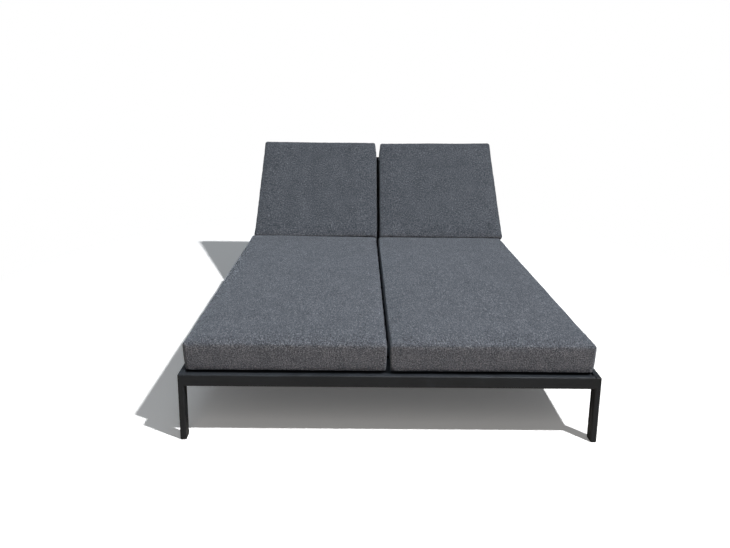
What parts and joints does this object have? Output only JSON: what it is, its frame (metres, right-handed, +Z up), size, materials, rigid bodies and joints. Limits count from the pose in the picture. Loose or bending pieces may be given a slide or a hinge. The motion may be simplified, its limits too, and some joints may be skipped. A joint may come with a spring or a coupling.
{
  "type": "double chaise lounger",
  "caption": "Low patio lounger for side-by-side use: padded seat and reclining back, held up by a prop in notched racks, on a powder-coated tube frame with square legs.",
  "frame": {"origin": "on the floor, under the middle of the base frame", "axes": "+X across the lounger, +Y from the foot end to the head end, +Z up"},
  "size_m": [1.34, 2.215, 0.7765],
  "materials": {
    "frame_paint": "satin",
    "rack_metal": "satin",
    "stainless_steel": "satin",
    "black_plastic": "matte",
    "cushion_fabric": "matte"
  },
  "bodies": {
    "base": {"side_rail_right": "frame_paint", "side_rail_left": "frame_paint", "leg_front_right": "frame_paint", "leg_front_left": "frame_paint", "foot_front_right": "black_plastic", "foot_front_left": "black_plastic", "front_rail": "frame_paint", "leg_rear_right": "frame_paint", "leg_rear_left": "frame_paint", "foot_rear_right": "black_plastic", "foot_rear_left": "black_plastic", "rear_rail": "frame_paint", "hinge_cross_tube": "frame_paint", "centre_rail": "frame_paint", "seat_slat_01": "frame_paint", "seat_slat_02": "frame_paint", "seat_slat_03": "frame_paint", "seat_slat_04": "frame_paint", "seat_slat_05": "frame_paint", "seat_slat_06": "frame_paint", "seat_slat_07": "frame_paint", "seat_slat_08": "frame_paint", "seat_slat_09": "frame_paint", "seat_slat_10": "frame_paint", "rack_rail_right": "frame_paint", "rack_rail_left": "frame_paint", "notched_rack_right": "rack_metal", "notched_rack_left": "rack_metal", "rack_screws": "stainless_steel", "pivot_bolts": "stainless_steel", "pivot_inserts": "stainless_steel", "pivot_spacers": "black_plastic", "centre_hinge_bracket": "frame_paint", "centre_hinge_pin": "stainless_steel", "seat_cushion_right": "cushion_fabric", "seat_cushion_left": "cushion_fabric"},
    "back_frame": {"back_side_tube_right": "frame_paint", "back_side_tube_left": "frame_paint", "back_top_tube": "frame_paint", "back_bottom_tube": "frame_paint", "back_centre_tube": "frame_paint", "back_tube_caps": "black_plastic", "back_slat_1": "frame_paint", "back_slat_2": "frame_paint", "back_slat_3": "frame_paint", "back_slat_4": "frame_paint", "back_slat_5": "frame_paint", "prop_cross_tube_right": "frame_paint", "prop_cross_tube_left": "frame_paint", "centre_hinge_lug": "frame_paint", "pivot_bushes": "black_plastic", "prop_bracket_right": "frame_paint", "prop_bracket_left": "frame_paint", "prop_pins": "stainless_steel"},
    "prop": {"prop_arm_right": "frame_paint", "prop_arm_left": "frame_paint", "prop_foot_rod": "frame_paint", "prop_bushes": "black_plastic"},
    "back_cushion_right": {"back_cushion_right": "cushion_fabric"},
    "back_cushion_left": {"back_cushion_left": "cushion_fabric"}
  },
  "joints": [
    {"name": "back_recline", "type": "hinge", "parent": "base", "child": "back_frame", "pos_m": [0, 0.4315, 0.2045], "axis": [1, 0, 0], "range_deg": [-47, 20]},
    {"name": "prop_swing", "type": "hinge", "parent": "back_frame", "child": "prop", "pos_m": [0, 0.63227, 0.38167], "axis": [1, 0, 0], "range_deg": [-39, 91]},
    {"name": "back_cushion_right_slide", "type": "slide", "parent": "back_frame", "child": "back_cushion_right", "axis": [0, 0.682, 0.7314], "range_m": [-0.098, 0.042]},
    {"name": "back_cushion_left_slide", "type": "slide", "parent": "back_frame", "child": "back_cushion_left", "axis": [0, 0.682, 0.7314], "range_m": [-0.098, 0.042]}
  ],
  "couplings": [
    {"joint": "prop_swing", "follows": "back_recline", "ratio": -1.9232},
    {"joint": "back_cushion_right_slide", "follows": "back_recline", "m_per_rad": 0.11886},
    {"joint": "back_cushion_left_slide", "follows": "back_recline", "m_per_rad": 0.11886}
  ]
}
